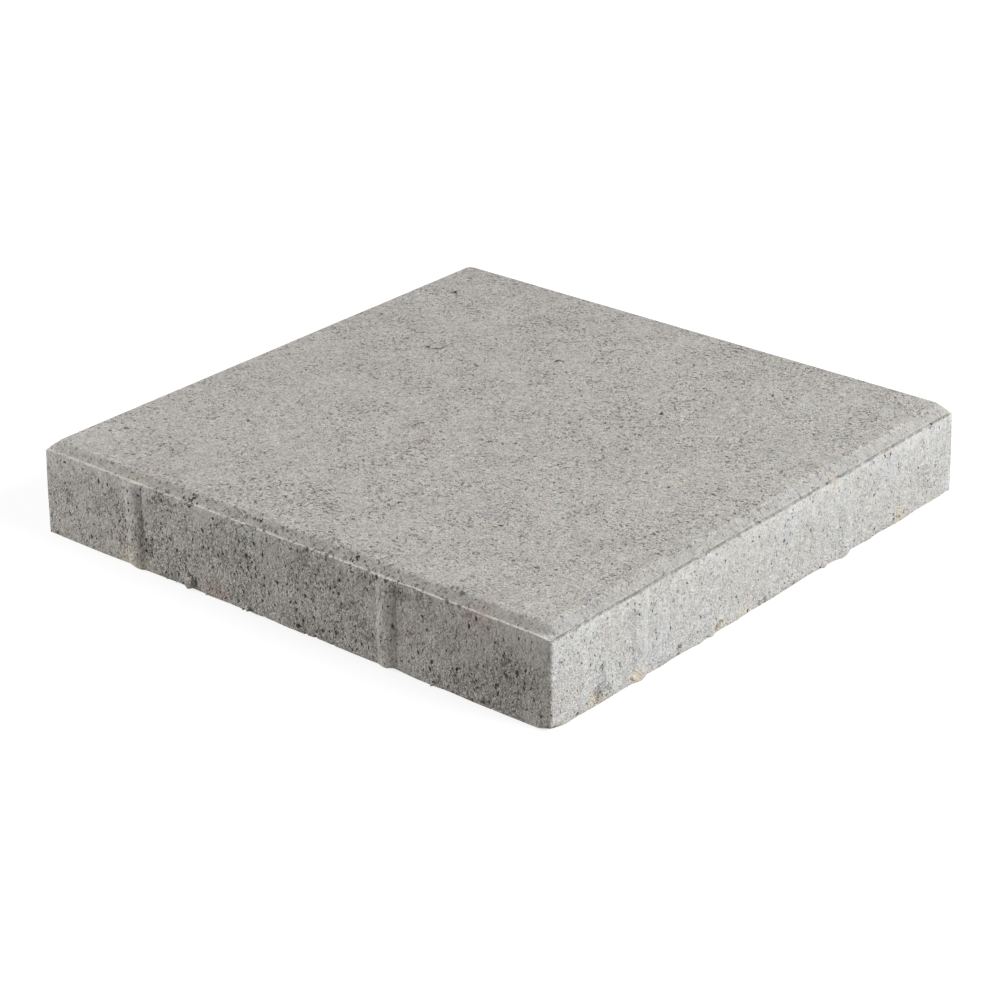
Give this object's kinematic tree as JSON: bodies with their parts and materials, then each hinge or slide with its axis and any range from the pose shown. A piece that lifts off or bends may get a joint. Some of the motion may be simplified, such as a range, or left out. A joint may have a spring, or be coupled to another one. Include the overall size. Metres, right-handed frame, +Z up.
{
  "type": "paving slab",
  "caption": "Square grey pressed-concrete paving slab with a bevelled upper face and spacer ribs on its sides.",
  "frame": {"origin": "centre of the underside, on the surface that the slab lies on", "axes": "+Z up out of the bevelled walking face, +X and +Y square to the side faces; on each side face, seen from outside, the spacer ribs sit nearer its left end"},
  "size_m": [0.454, 0.454, 0.07],
  "materials": {
    "concrete": "matte"
  },
  "bodies": {
    "root": {"slab": "concrete"}
  },
  "joints": []
}
